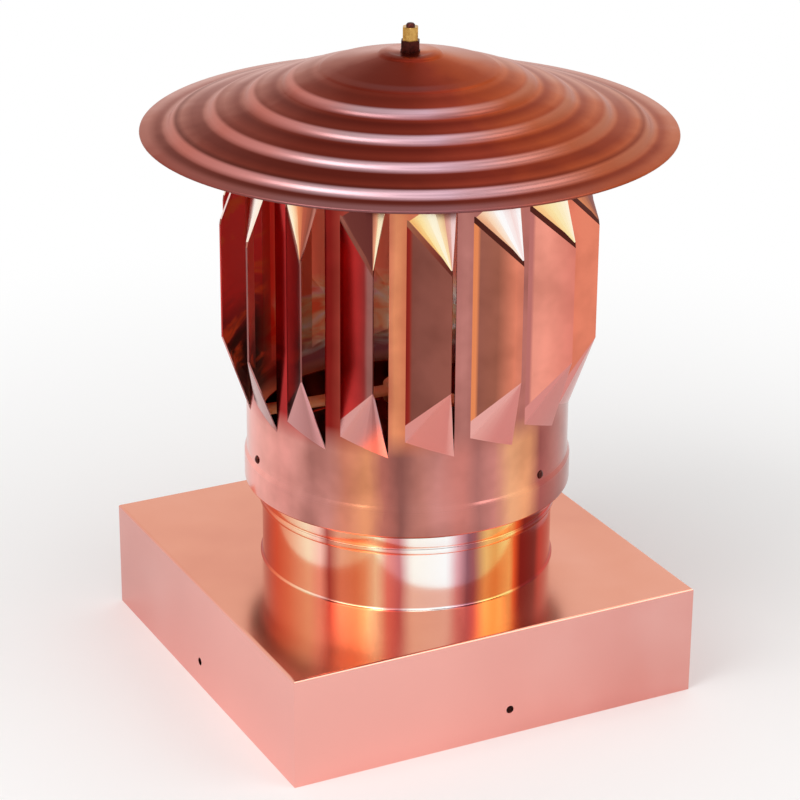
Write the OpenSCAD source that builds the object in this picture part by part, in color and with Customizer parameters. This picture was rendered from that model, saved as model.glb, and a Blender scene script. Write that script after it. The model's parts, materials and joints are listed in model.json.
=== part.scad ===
// Revolving copper chimney cowl: a folded square tray with a fixed flue tube,
// and a wind-driven drum of pressed louvres under a ribbed, spun cap.
// Millimetres. The origin is on the spin axis, at the tray's bottom edge.

/* [Base tray] */
// Side of the square tray
base_side = 305; // [280:1:340]
// Depth of the tray's folded sides
base_depth = 78.5; // [60:0.5:90]
// Outside radius of the folds
fold_r = 2; // [1.5:0.1:3]
// Diameter of the fixing hole in each side
fixing_hole_d = 5.6; // [3.5:0.1:6]
// Height of the fixing holes above the bottom edge
fixing_hole_z = 19; // [12:1:30]
// How far the tray's middle stands off the spin axis, along X and along Y
tray_shift = [-5.5, 3]; // [-8:0.5:8]
// Place of the front and back holes along X, and of the side holes along Y
fixing_hole_at = [3, 7]; // [-20:0.5:20]

/* [Sheet] */
// Thickness of the copper sheet
sheet_t = 1; // [0.8:0.1:1.2]

/* [Flue tube] */
// Outside radius of the collar soldered into the tray
collar_r = 102; // [100:0.5:102]
// Height of the collar's top edge
collar_top_z = 150; // [145:1:160]
// Height of the sleeve's bottom edge, where its hem shows
sleeve_z = 120.5; // [112:0.5:122]
// Height of the sleeve's top edge, inside the drum
sleeve_top_z = 180; // [170:1:185]
// Height of the sleeve's double hem
sleeve_hem = 13; // [11:1:14]

/* [Bridges] */
// Width of the two flat bars across the flue
bridge_w = 25; // [20:1:30]
// Thickness of those bars
bridge_t = 3; // [2:0.5:4]
// Underside of the upper bar
upper_bridge_z = 145; // [140:1:148]
// Underside of the lower bar
lower_bridge_z = 95; // [92:1:98]
// Length of the turned-down ends
bridge_lug = 18; // [15:1:20]

/* [Spindle and bearings] */
// Height of the spindle's top end
spindle_top_z = 424; // [422:0.5:426]
// Centre height of the lower ball bearing
bearing_low_z = 378; // [377:0.5:379]
// Balls in each bearing
ball_count = 8; // [6:1:9]
// Running gap between the moving and fixed parts of a bearing
running_gap = 0.05; // [0.03:0.01:0.08]

/* [Drum] */
// Outside radius of the drum where it isn't pressed
drum_r = 112.2; // [111.5:0.1:113]
// Outside radius of the swaged bottom band
skirt_r = 114; // [113.8:0.1:115]
// Height of the drum's bottom edge
skirt_z = 138; // [134:0.5:139]
// Height at which the bottom band meets the drum
swage_z = 157.2; // [153:0.1:158]
// Height of the drum's top edge
drum_top_z = 408.6; // [408:0.1:408.6]
// Angle of the first louvre's crease
louvre_start = 17; // [0:0.1:22.5]
// Angle on the drum from a louvre's crease to its slit
louvre_span = 16.8; // [15:0.1:18]
// Radius that the free edges of the louvres stand out to
louvre_r = 130; // [124:0.5:133]
// Height of the middle of the louvres
louvre_mid_z = 289.5; // [288:0.5:291]
// Length of a louvre's straight free edge
free_edge_len = 83; // [75:1:95]
// Length of a louvre's crease
crease_len = 140.5; // [130:0.5:150]
// Length of the slit between two louvres
slit_len = 188; // [180:1:190]

/* [Cap] */
// Outside radius of the cap
cap_r = 180.8; // [175:0.1:190]
// Height of the cap's bottom edge
cap_z = 388.5; // [388.5:0.1:389.2]
// Radii of the five ridges, outermost first
ridge_r = [161, 133.5, 108.6, 84, 60.5]; // [50:0.1:170]
// Heights of the ridges above the cap's bottom edge
ridge_h = [5.6, 14.4, 23.7, 32.5, 41.5]; // [3:0.1:50]
// Steepest slope on each ridge, in degrees
ridge_slope = [55, 55, 55, 55, 34]; // [30:1:60]
// Width of the hem folded under the cap's edge
cap_hem = 7; // [5:0.5:9]

/* [Guide spider] */
// Angle of the first of the three arms
spider_start = 56.5; // [0:0.5:120]
// Width of an arm
arm_w = 14; // [12:1:18]
// Thickness of an arm
arm_t = 2.5; // [2:0.5:3]
// Height of the arms' top face
arm_z = 202; // [198:0.5:205]
// Height of the rivets that hold the arms to the skirt
skirt_rivet_z = 164.5; // [163.5:0.5:167]

/* [Hidden] */
$fn = 96;
eps = 0.01;

// Clearance of pieces that slide into one another and are then fixed
seat_gap = 0.1;
collar_in_r = collar_r - sheet_t;
sleeve_in_r = collar_r + seat_gap;
sleeve_out_r = sleeve_in_r + sheet_t;
collar_flange_r = collar_r + 10;

// The fixed M12 spindle and what is stacked on it: 12 x 32 x 10 ball bearings
// with 30 between their centres, standard nuts and washers
spindle_d = 12;
spindle_r = spindle_d / 2 - eps;
spindle_seat_r = 10;
bearing_seat_r = 8;
bore_r = spindle_d / 2;
bearing_r = 32 / 2;
bearing_w = 10;
bearing_gap = 30;
bearing_high_z = bearing_low_z + bearing_gap;
ball_r = 3;
ball_pitch_r = 11;
inner_ring_r = ball_pitch_r - 1.7;
outer_ring_in_r = ball_pitch_r + 1.7;
race_r = ball_r + running_gap;
m12_nut_af = 18;
m12_nut_h = 7;
washer_t = 1.5;
bridge_washer_r = 12;
spindle_washer_r = 9.2;

// Rivets: two in each end of the upper bar, one in each spider arm, eight
// round the drum's head and three in the hub's flange
rivet_r = 1.9;
rivet_head_r = 3;
rivet_head_h = 1.5;
bridge_rivet_angles = [-4.5, 4.5, 175.5, 184.5];
bridge_rivet_z = 138;
spider_angles = [for (i = [0 : 2]) spider_start + i * 120];

// The middle of the cap: a flat dish inside a low rim, and what is on it
cap_dish_z = cap_z + 52.8;
cap_under_z = cap_dish_z - sheet_t;
cap_dish_r = 12.5;
cap_rim_r = 16.5;
cap_rim_h = 0.7;
boss_shoulder_r = 21.5;
boss_shoulder_drop = 1;
boss_slope = 45;
stud_r = 3;
stud_top_z = cap_z + 72.3;
cap_washer_r = 6.6;
cap_washer_t = 1;
lock_nut_af = 12;
lock_nut_h = 7;
top_nut_af = 10;
top_nut_h = 9;

// Ridges of the cap: slope of the lands, bend radii, and steps in a bend
land_slope = 14;
ridge_convex_r = 6;
ridge_hollow_r = 5;
boss_convex_r = 4.5;
boss_hollow_r = 3;
arc_steps = 5;

// The hub that carries the drum and the cap on the bearings
hub_r = 20;
hub_low_z = bearing_low_z - bearing_w / 2 - 6;
hub_flange_r = 32;
hub_flange_t = 3;
plug_h = 12;
head_plate_z = 401;
head_flange = 13;
head_rivet_z = head_plate_z - 7;
hub_rivet_ring_r = 26.5;
hub_rivet_angles = [30, 150, 270];

// Louvre heights on the drum, from the bottom up
slit_low = louvre_mid_z - slit_len / 2;
slit_high = louvre_mid_z + slit_len / 2;
crease_low = louvre_mid_z - crease_len / 2;
crease_high = louvre_mid_z + crease_len / 2;
edge_low = louvre_mid_z - free_edge_len / 2;
edge_high = louvre_mid_z + free_edge_len / 2;
louvre_count = 16;
louvre_pitch = 360 / louvre_count;
fan_steps = 6;
band_low = slit_low - 8;
band_high = slit_high + 8;
plain_band_t = 1.35;
plain_band_r = drum_r + 0.15;
plain_band_in_r = plain_band_r - plain_band_t;
head_rivet_angles = [for (i = [0 : 7]) louvre_start - (louvre_pitch - louvre_span) / 2 + i * 45];

// A louvre keeps its width when it is pressed out, so it turns about its crease
// like a door. This is the turn that brings its free edge out to louvre_r.
louvre_w = 2 * drum_r * sin(louvre_span / 2);
door_angle = acos((louvre_r^2 - drum_r^2 - louvre_w^2) / (2 * drum_r * louvre_w));

// The guide spider's hub and its bush
spider_hub_r = 17;
spider_hub_h = 11;
spider_hub_z = arm_z - 9;
bush_r = 10;

copper = [0.72, 0.38, 0.28];
polished_copper = [0.85, 0.50, 0.40];
brown_copper = [0.55, 0.24, 0.17];
steel = [0.62, 0.63, 0.65];
dark_steel = [0.30, 0.27, 0.27];
brass = [0.80, 0.62, 0.28];
bronze = [0.66, 0.46, 0.24];
rubber = [0.12, 0.12, 0.13];

function polar(r, a, z) = [r * cos(a), r * sin(a), z];

// A solid of revolution given by its half section
module turned(points) {
    rotate_extrude($fn = 144) polygon(points);
}

module ring(out_r, in_r, h) {
    difference() {
        cylinder(r = out_r, h = h);
        translate([0, 0, -1]) cylinder(r = in_r, h = h + 2);
    }
}

// A dome-headed rivet along +Z: the head sits on z = 0, the shank goes down
// through the grip and a smaller formed head closes it underneath.
module rivet(grip) {
    dome_r = (rivet_head_r^2 + rivet_head_h^2) / (2 * rivet_head_h);
    formed_h = 0.6 * rivet_head_h;
    intersection() {
        translate([0, 0, rivet_head_h - dome_r]) sphere(r = dome_r, $fn = 48);
        cylinder(r = rivet_head_r, h = rivet_head_h, $fn = 48);
    }
    translate([0, 0, -grip - eps]) cylinder(r = rivet_r, h = grip + 2 * eps, $fn = 32);
    translate([0, 0, -grip - formed_h]) cylinder(r = 0.8 * rivet_head_r, h = formed_h, $fn = 32);
}

// Puts a child that points along +Z on the outside of a drum or tube
module radially(r, a, z) {
    rotate([0, 0, a]) translate([r, 0, z]) rotate([0, 90, 0]) children();
}

// A drill for rivets that go through a wall towards the axis
module radial_holes(r, angles, z) {
    for (a = angles) radially(r - 12, a, z) cylinder(r = rivet_r + seat_gap, h = 24, $fn = 32);
}

module hex_nut(af, h, hole_r) {
    chamfer_r = af / 2 * 1.04;
    difference() {
        intersection() {
            cylinder(r = af / 2 / cos(30), h = h, $fn = 6);
            turned([[0, -h], [chamfer_r, -h], [chamfer_r + h, 0.5 * h], [chamfer_r, h], [0, h]]);
        }
        translate([0, 0, -1]) cylinder(r = hole_r, h = h + 2);
    }
}

// Base tray

// Side view of the folded tray: square at the bottom, folds at the top
module tray_profile(side, depth, r) {
    translate([-side / 2, 0]) square([side, depth - r]);
    translate([-side / 2 + r, 0]) square([side - 2 * r, depth]);
    for (x = [-1, 1]) translate([x * (side / 2 - r), depth - r]) circle(r = r, $fn = 32);
}

module tray_form(side, depth, r) {
    intersection() {
        rotate([90, 0, 0]) linear_extrude(side, center = true) tray_profile(side, depth, r);
        rotate([90, 0, 90]) linear_extrude(side, center = true) tray_profile(side, depth, r);
    }
}

module base_tray() {
    reach = base_side + 20;
    color(polished_copper) difference() {
        translate(tray_shift) tray_form(base_side, base_depth, fold_r);
        translate([tray_shift[0], tray_shift[1], -1])
            tray_form(base_side - 2 * sheet_t, base_depth - sheet_t + 1, fold_r - sheet_t);
        cylinder(r = collar_r + seat_gap, h = base_depth + 1);
        translate([0, fixing_hole_at[1], fixing_hole_z])
            rotate([0, 90, 0]) cylinder(d = fixing_hole_d, h = reach, center = true);
        translate([fixing_hole_at[0], 0, fixing_hole_z])
            rotate([90, 0, 0]) cylinder(d = fixing_hole_d, h = reach, center = true);
    }
}

// Fixed flue tube

module flue_collar() {
    flange_z = base_depth - sheet_t;
    color(polished_copper) difference() {
        turned([
            [collar_in_r, flange_z - sheet_t], [collar_flange_r, flange_z - sheet_t],
            [collar_flange_r, flange_z], [collar_r, flange_z],
            [collar_r, collar_top_z], [collar_in_r, collar_top_z]
        ]);
        radial_holes(collar_r, bridge_rivet_angles, bridge_rivet_z);
    }
}

module flue_sleeve() {
    hem_r = sleeve_out_r + sheet_t;
    groove_z = sleeve_z + 5;
    color(polished_copper) difference() {
        turned([
            [sleeve_in_r, sleeve_z], [hem_r - 0.4, sleeve_z], [hem_r, sleeve_z + 0.4],
            [hem_r, groove_z - 1], [hem_r - 0.7, groove_z], [hem_r, groove_z + 1],
            [hem_r, sleeve_z + sleeve_hem - 0.4], [hem_r - 0.4, sleeve_z + sleeve_hem],
            [sleeve_out_r, sleeve_z + sleeve_hem], [sleeve_out_r, sleeve_top_z],
            [sleeve_in_r, sleeve_top_z]
        ]);
        radial_holes(sleeve_out_r, bridge_rivet_angles, bridge_rivet_z);
    }
}

// A flat bar across the collar, its ends turned down against the wall
module bridge(z) {
    reach = collar_in_r - 0.05;
    difference() {
        intersection() {
            union() {
                translate([-reach, -bridge_w / 2, z]) cube([2 * reach, bridge_w, bridge_t]);
                for (side = [-1, 1])
                    translate([side * (reach - bridge_t / 2), 0, z + bridge_t / 2 - bridge_lug / 2])
                        cube([bridge_t, bridge_w, bridge_lug + bridge_t], center = true);
            }
            translate([0, 0, z - bridge_lug - 5]) cylinder(r = reach, h = bridge_lug + 20);
        }
        translate([0, 0, z - 1]) cylinder(r = bore_r + seat_gap, h = bridge_t + 2);
    }
}

module upper_bridge() {
    color(steel) difference() {
        bridge(upper_bridge_z);
        radial_holes(collar_in_r, bridge_rivet_angles, bridge_rivet_z);
    }
}

module lower_bridge() {
    color(steel) bridge(lower_bridge_z);
}

module bridge_rivets() {
    color(copper) for (a = bridge_rivet_angles)
        radially(sleeve_out_r, a, bridge_rivet_z) rivet(bridge_t + 2 * sheet_t + 0.25);
}

// Spindle

module spindle() {
    low_end = lower_bridge_z - 11;
    seat_z = upper_bridge_z + bridge_t;
    collar_low = bearing_low_z - bearing_w / 2 - 3;
    color(steel) turned([
        [0, low_end], [spindle_r - 1, low_end], [spindle_r, low_end + 1],
        [spindle_r, seat_z], [spindle_seat_r, seat_z], [spindle_seat_r, seat_z + 5],
        [spindle_r, seat_z + 6], [spindle_r, collar_low], [bearing_seat_r, collar_low],
        [bearing_seat_r, bearing_low_z - bearing_w / 2],
        [spindle_r, bearing_low_z - bearing_w / 2],
        [spindle_r, spindle_top_z - 1], [spindle_r - 1, spindle_top_z], [0, spindle_top_z]
    ]);
}

module bridge_washers() {
    low_top = lower_bridge_z + bridge_t;
    color(steel) for (z = [lower_bridge_z - washer_t, low_top, upper_bridge_z - washer_t])
        translate([0, 0, z]) ring(bridge_washer_r, bore_r, washer_t);
}

module bridge_nuts() {
    low_top = lower_bridge_z + bridge_t + washer_t;
    under = washer_t + m12_nut_h;
    color(steel) for (z = [lower_bridge_z - under, low_top, upper_bridge_z - under])
        translate([0, 0, z]) hex_nut(m12_nut_af, m12_nut_h, bore_r);
}

module bearing_inner_rings() {
    color(steel) for (z = [bearing_low_z, bearing_high_z]) translate([0, 0, z])
        rotate_extrude() difference() {
            translate([bore_r, -bearing_w / 2]) square([inner_ring_r - bore_r, bearing_w]);
            translate([ball_pitch_r, 0]) circle(r = race_r, $fn = 48);
        }
}

module bearing_spacer() {
    color(steel) translate([0, 0, bearing_low_z + bearing_w / 2])
        ring(bearing_seat_r, bore_r, bearing_gap - bearing_w);
}

module spindle_washer() {
    color(steel) translate([0, 0, bearing_high_z + bearing_w / 2])
        ring(spindle_washer_r, bore_r, washer_t);
}

module spindle_nut() {
    color(steel) translate([0, 0, bearing_high_z + bearing_w / 2 + washer_t])
        hex_nut(m12_nut_af, m12_nut_h, bore_r);
}

// Louvre drum

// Corners of the pressed sheet on one side of its thickness. Each louvre has
// fan_steps + 1 upright columns of four points, from its crease to its slit,
// and then the upper and the lower corner of its free edge.
function drum_points(r, inset) = [
    for (k = [0 : louvre_count - 1])
        let (
            crease = louvre_start + k * louvre_pitch,
            out = crease + door_angle,
            tip = polar(drum_r, crease, 0) + polar(louvre_w, out, 0) - polar(inset, out - 90, 0)
        )
        each concat(
            [
                for (i = [0 : fan_steps])
                    let (a = crease + louvre_span * i / fan_steps, f = i / fan_steps)
                    each [
                        polar(r, a, band_low),
                        polar(r, a, crease_low + (slit_low - crease_low) * f),
                        polar(r, a, crease_high + (slit_high - crease_high) * f),
                        polar(r, a, band_high)
                    ]
            ],
            [[tip[0], tip[1], edge_high], [tip[0], tip[1], edge_low]]
        )
];

points_per_louvre = 4 * (fan_steps + 1) + 2;
points_per_side = louvre_count * points_per_louvre;

// Number of the point in column i and row j of louvre k
function at(k, i, j) = (k % louvre_count) * points_per_louvre + 4 * i + j;
function high_corner(k) = at(k, 0, 0) + 4 * (fan_steps + 1);
function low_corner(k) = high_corner(k) + 1;
function inner(face) = [for (p = face) p + points_per_side];
function flipped(face) = [for (i = [len(face) - 1 : -1 : 0]) face[i]];

// Faces of the outer side: plain bands, pillars between louvres, then the
// flat louvre and the fan of triangles that closes it above and below.
outer_faces = [
    for (k = [0 : louvre_count - 1]) each concat(
        [
            for (i = [0 : fan_steps - 1]) each [
                [at(k, i, 0), at(k, i, 1), at(k, i + 1, 1), at(k, i + 1, 0)],
                [at(k, i, 2), at(k, i, 3), at(k, i + 1, 3), at(k, i + 1, 2)],
                [high_corner(k), at(k, i, 2), at(k, i + 1, 2)],
                [low_corner(k), at(k, i + 1, 1), at(k, i, 1)]
            ]
        ],
        [
            for (j = [0 : 2])
                [at(k, fan_steps, j), at(k, fan_steps, j + 1), at(k + 1, 0, j + 1), at(k + 1, 0, j)]
        ],
        [[at(k, 0, 1), at(k, 0, 2), high_corner(k), low_corner(k)]]
    )
];

// Faces across the sheet's thickness along an edge of the outer side
function edge_faces(p, q) = [
    [p, q, q + points_per_side],
    [p, q + points_per_side, p + points_per_side]
];

rim_faces = [
    for (k = [0 : louvre_count - 1]) each concat(
        [
            for (i = [0 : fan_steps - 1]) each concat(
                edge_faces(at(k, i + 1, 0), at(k, i, 0)),
                edge_faces(at(k, i, 3), at(k, i + 1, 3))
            )
        ],
        edge_faces(at(k + 1, 0, 0), at(k, fan_steps, 0)),
        edge_faces(at(k, fan_steps, 3), at(k + 1, 0, 3)),
        edge_faces(at(k, fan_steps, 2), high_corner(k)),
        edge_faces(high_corner(k), low_corner(k)),
        edge_faces(low_corner(k), at(k, fan_steps, 1)),
        edge_faces(at(k, fan_steps, 1), at(k, fan_steps, 2))
    )
];

module pressed_band() {
    polyhedron(
        points = concat(drum_points(drum_r, 0), drum_points(drum_r - sheet_t, sheet_t)),
        faces = concat(
            outer_faces,
            [for (f = outer_faces) flipped(inner(f))],
            [for (f = rim_faces) flipped(f)]
        )
    );
}

module skirt_band() {
    skirt_in_r = skirt_r - sheet_t;
    turned([
        [skirt_in_r - sheet_t, skirt_z], [skirt_r - 0.4, skirt_z], [skirt_r, skirt_z + 0.4],
        [skirt_r, swage_z - 0.6], [skirt_r - 0.4, swage_z + 0.6],
        [plain_band_r + 0.3, swage_z + 2.6], [plain_band_r, swage_z + 3.6],
        [plain_band_r, band_low + 4], [plain_band_in_r, band_low + 4],
        [plain_band_in_r, swage_z + 2], [skirt_in_r, swage_z - 1],
        [skirt_in_r, skirt_z + 7], [skirt_in_r - sheet_t, skirt_z + 7]
    ]);
}

module louvre_drum() {
    color(polished_copper) {
        pressed_band();
        difference() {
            skirt_band();
            radial_holes(drum_r, spider_angles, skirt_rivet_z);
        }
        difference() {
            translate([0, 0, band_high - 4])
                ring(plain_band_r, plain_band_in_r, drum_top_z - band_high + 4);
            radial_holes(drum_r, head_rivet_angles, head_rivet_z);
        }
    }
}

// Cap

// An S-shaped shoulder through p: convex above it and hollow below it
function shoulder(p, convex_r, hollow_r, steep, flat) = concat(
    [
        for (i = [0 : arc_steps])
            let (a = flat + (steep - flat) * i / arc_steps)
            p + convex_r * [sin(a) - sin(steep), cos(a) - cos(steep)]
    ],
    [
        for (i = [1 : arc_steps])
            let (a = steep - (steep - flat) * i / arc_steps)
            p + hollow_r * [sin(steep) - sin(a), cos(steep) - cos(a)]
    ]
);

// The same shoulder on a face that lies down below it, square to the sheet
function lower_shoulder(p, convex_r, hollow_r, steep, flat, down) =
    shoulder(p - down * [sin(steep), cos(steep)], convex_r - down, hollow_r + down, steep, flat);

// Half section of one face of the cap, from its central hole outwards
function cap_face(down) = concat(
    [
        [stud_r + 0.2, cap_dish_z - down], [cap_dish_r, cap_dish_z - down],
        [cap_rim_r, cap_dish_z + cap_rim_h - down]
    ],
    lower_shoulder([boss_shoulder_r, cap_dish_z - boss_shoulder_drop], boss_convex_r, boss_hollow_r,
        boss_slope, land_slope, down),
    [
        for (k = [len(ridge_r) - 1 : -1 : 0])
            each lower_shoulder([ridge_r[k], cap_z + ridge_h[k]], ridge_convex_r, ridge_hollow_r,
                ridge_slope[k], land_slope, down)
    ]
);

module cap() {
    edge_t = 2 * sheet_t;
    color(brown_copper) turned(concat(
        cap_face(0),
        [
            [cap_r - cap_hem, cap_z + edge_t + 0.8], [cap_r - 0.8, cap_z + edge_t],
            [cap_r, cap_z + edge_t - 0.8], [cap_r, cap_z + 0.8], [cap_r - 0.8, cap_z],
            [cap_r - cap_hem, cap_z + 0.8], [cap_r - cap_hem, cap_z + 1.8]
        ],
        flipped(cap_face(sheet_t))
    ));
}

// Drum head and bearing hub

module hub_rivet_holes() {
    for (a = hub_rivet_angles) rotate([0, 0, a])
        translate([hub_rivet_ring_r, 0, head_plate_z - 10])
            cylinder(r = rivet_r + seat_gap, h = 20, $fn = 32);
}

module head_plate() {
    out_r = plain_band_in_r - 0.05;
    top = head_plate_z + sheet_t;
    color(copper) difference() {
        turned([
            [hub_r + 0.3, head_plate_z], [out_r - 2, head_plate_z],
            [out_r - sheet_t, head_plate_z - 1], [out_r - sheet_t, top - head_flange],
            [out_r, top - head_flange], [out_r, top - 2], [out_r - 0.6, top - 0.6],
            [out_r - 2, top], [hub_r + 0.3, top]
        ]);
        radial_holes(drum_r, head_rivet_angles, head_rivet_z);
        hub_rivet_holes();
    }
}

module head_rivets() {
    color(copper) for (a = head_rivet_angles)
        radially(plain_band_r, a, head_rivet_z) rivet(plain_band_t + sheet_t + 0.1);
}

module hub_housing() {
    seat_r = bearing_r + eps;
    land_r = outer_ring_in_r + 1.3;
    flange_z = head_plate_z - hub_flange_t;
    color(steel) difference() {
        turned([
            [seat_r, hub_low_z], [hub_r - 0.8, hub_low_z], [hub_r, hub_low_z + 0.8],
            [hub_r, flange_z - 3], [hub_r + 3, flange_z],
            [hub_flange_r, flange_z], [hub_flange_r, head_plate_z], [hub_r, head_plate_z],
            [hub_r, cap_under_z - 1.3], [hub_r - 0.8, cap_under_z - 0.5],
            [seat_r, cap_under_z - 0.5], [seat_r, bearing_high_z - bearing_w / 2],
            [land_r, bearing_high_z - bearing_w / 2], [land_r, bearing_low_z + bearing_w / 2],
            [seat_r, bearing_low_z + bearing_w / 2]
        ]);
        hub_rivet_holes();
    }
}

module hub_rivets() {
    color(steel) for (a = hub_rivet_angles) rotate([0, 0, a])
        translate([hub_rivet_ring_r, 0, head_plate_z + sheet_t]) rivet(sheet_t + hub_flange_t);
}

module bearing_outer_rings() {
    color(steel) for (z = [bearing_low_z, bearing_high_z]) translate([0, 0, z])
        rotate_extrude() difference() {
            translate([outer_ring_in_r, -bearing_w / 2])
                square([bearing_r - outer_ring_in_r, bearing_w]);
            translate([ball_pitch_r, 0]) circle(r = race_r, $fn = 48);
        }
}

module at_balls() {
    for (z = [bearing_low_z, bearing_high_z], i = [0 : ball_count - 1])
        translate([0, 0, z]) rotate([0, 0, i * 360 / ball_count])
            translate([ball_pitch_r, 0, 0]) children();
}

module bearing_balls() {
    color(steel) at_balls() sphere(r = ball_r, $fn = 32);
}

// Crown cages: a ring above the balls with fingers that reach down between them
module bearing_cages() {
    color(brass) difference() {
        for (z = [bearing_low_z, bearing_high_z])
            translate([0, 0, z - 1]) ring(ball_pitch_r + 0.9, ball_pitch_r - 0.9, 5.4);
        at_balls() sphere(r = race_r, $fn = 32);
    }
}

module dust_ring() {
    color(rubber) translate([0, 0, hub_low_z]) ring(bearing_r, bore_r + 0.6, 2.5);
}

module hub_plug() {
    base = cap_under_z - plug_h;
    color(dark_steel) turned([
        [0, base], [bearing_r - 1, base], [bearing_r, base + 1], [bearing_r, cap_under_z],
        [stud_r, cap_under_z], [stud_r, stud_top_z - 1.2], [stud_r - 0.8, stud_top_z - 0.3],
        [stud_r - 1.8, stud_top_z], [0, stud_top_z]
    ]);
}

// Guide spider inside the skirt

module spider_arm() {
    out_r = plain_band_in_r - 0.05;
    leg_low = skirt_rivet_z - 6;
    hub_in = bush_r + 3;
    bend = 6;
    intersection() {
        rotate([90, 0, 0]) linear_extrude(arm_w, center = true) difference() {
            union() {
                translate([hub_in, arm_z - arm_t]) square([out_r - bend - hub_in, arm_t]);
                translate([out_r - bend, arm_z - bend]) circle(r = bend, $fn = 48);
                translate([out_r - bend, leg_low]) square([bend, arm_z - bend - leg_low]);
            }
            translate([out_r - bend, arm_z - bend]) circle(r = bend - arm_t, $fn = 48);
            translate([out_r - 3 * bend, leg_low - 1])
                square([3 * bend - arm_t, arm_z - bend - leg_low + 1]);
            translate([out_r - 3 * bend, arm_z - 2 * bend]) square([2 * bend, 2 * bend - arm_t]);
        }
        cylinder(r = out_r, h = arm_z + 10);
    }
}

module guide_spider() {
    color(copper) difference() {
        union() {
            translate([0, 0, spider_hub_z]) ring(spider_hub_r, bush_r, spider_hub_h);
            for (a = spider_angles) rotate([0, 0, a]) spider_arm();
        }
        radial_holes(drum_r, spider_angles, skirt_rivet_z);
    }
}

module guide_bush() {
    flange_h = 1.5;
    color(bronze) translate([0, 0, spider_hub_z]) difference() {
        union() {
            cylinder(r = bush_r - eps, h = spider_hub_h + 1);
            translate([0, 0, -flange_h]) cylinder(r = bush_r + 3, h = flange_h);
        }
        translate([0, 0, -flange_h - 1]) cylinder(r = spindle_r + running_gap, h = 20);
    }
}

module skirt_rivets() {
    color(dark_steel) for (a = spider_angles)
        radially(plain_band_r, a, skirt_rivet_z) rivet(plain_band_t + arm_t + 0.15);
}

// Fasteners on top of the cap

module cap_washer() {
    color(dark_steel) translate([0, 0, cap_dish_z]) ring(cap_washer_r, stud_r + 0.05, cap_washer_t);
}

module lock_nut() {
    color(dark_steel) translate([0, 0, cap_dish_z + cap_washer_t])
        hex_nut(lock_nut_af, lock_nut_h, stud_r + eps);
}

module top_nut() {
    color(brass) translate([0, 0, cap_dish_z + cap_washer_t + lock_nut_h])
        hex_nut(top_nut_af, top_nut_h, stud_r + eps);
}

base_tray();
flue_collar();
flue_sleeve();
upper_bridge();
lower_bridge();
bridge_rivets();
spindle();
bridge_washers();
bridge_nuts();
bearing_inner_rings();
bearing_spacer();
spindle_washer();
spindle_nut();
louvre_drum();
cap();
head_plate();
head_rivets();
hub_housing();
hub_rivets();
bearing_outer_rings();
bearing_balls();
bearing_cages();
dust_ring();
guide_spider();
guide_bush();
skirt_rivets();
hub_plug();
cap_washer();
lock_nut();
top_nut();
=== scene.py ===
import json
import math

import bmesh
import bpy
from mathutils import Matrix, Vector


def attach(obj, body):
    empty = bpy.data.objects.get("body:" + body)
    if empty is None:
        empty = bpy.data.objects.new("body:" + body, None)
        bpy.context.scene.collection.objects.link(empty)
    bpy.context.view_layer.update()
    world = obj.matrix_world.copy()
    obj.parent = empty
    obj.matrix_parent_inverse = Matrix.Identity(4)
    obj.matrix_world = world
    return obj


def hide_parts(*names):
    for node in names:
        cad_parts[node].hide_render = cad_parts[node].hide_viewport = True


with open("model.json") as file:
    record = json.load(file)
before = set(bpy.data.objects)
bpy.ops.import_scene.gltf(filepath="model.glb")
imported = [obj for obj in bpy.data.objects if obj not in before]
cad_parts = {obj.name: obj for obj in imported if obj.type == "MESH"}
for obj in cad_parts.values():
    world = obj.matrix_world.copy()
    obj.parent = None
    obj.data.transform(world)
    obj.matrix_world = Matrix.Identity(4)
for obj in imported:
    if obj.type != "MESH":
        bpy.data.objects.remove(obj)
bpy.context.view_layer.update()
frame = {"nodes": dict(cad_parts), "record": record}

# Base tray
# A square pan of 1 mm copper sheet, open below, that slips over the chimney.
# Its four sides are folded down from the top and soldered at the corners, and
# each has one drilled hole for a fixing screw. The sheet is bright from the mill.
MM = 0.001
SHEET = 1 * MM
tray_side = 305 * MM
tray_depth = 78.5 * MM
tray_shift = Vector((-5.5, 3, 0)) * MM
tray_fold = 2 * MM
tray_corner = 0.4 * MM
tray_opening = 102.1 * MM
screw_hole_r = 2.8 * MM
screw_hole_z = 19 * MM
front_hole_x = 3 * MM
side_hole_y = 7 * MM


def linear(code, alpha=1.0):
    """The linear colour of an sRGB hex code such as "#E8A088"."""
    parts = [int(code[i:i + 2], 16) / 255 for i in (1, 3, 5)]
    return [c / 12.92 if c <= 0.04045 else ((c + 0.055) / 1.055) ** 2.4 for c in parts] + [alpha]


def add(tree, kind, inputs=None, stops=None, **settings):
    """Adds a node with its settings. An input is linked if it is a socket, and a
    ramp takes stops of (position, colour)."""
    node = tree.nodes.new(kind)
    for key, value in settings.items():
        setattr(node, key, value)
    for key, value in (inputs or {}).items():
        if isinstance(value, bpy.types.NodeSocket):
            tree.links.new(value, node.inputs[key])
        else:
            node.inputs[key].default_value = value
    if stops:
        elements = node.color_ramp.elements
        while len(elements) < len(stops):
            elements.new(0.5)
        for element, (position, code) in zip(elements, stops):
            element.position = position
            element.color = linear(code)
    return node


def metal(name, roughness):
    """An empty metal: its tree, its shader and its Object coordinates."""
    material = bpy.data.materials.new(name)
    material.use_nodes = True
    tree = material.node_tree
    shader = tree.nodes["Principled BSDF"]
    shader.inputs["Metallic"].default_value = 1
    shader.inputs["Roughness"].default_value = roughness
    place = add(tree, "ShaderNodeTexCoord").outputs["Object"]
    return material, tree, shader, place


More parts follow.
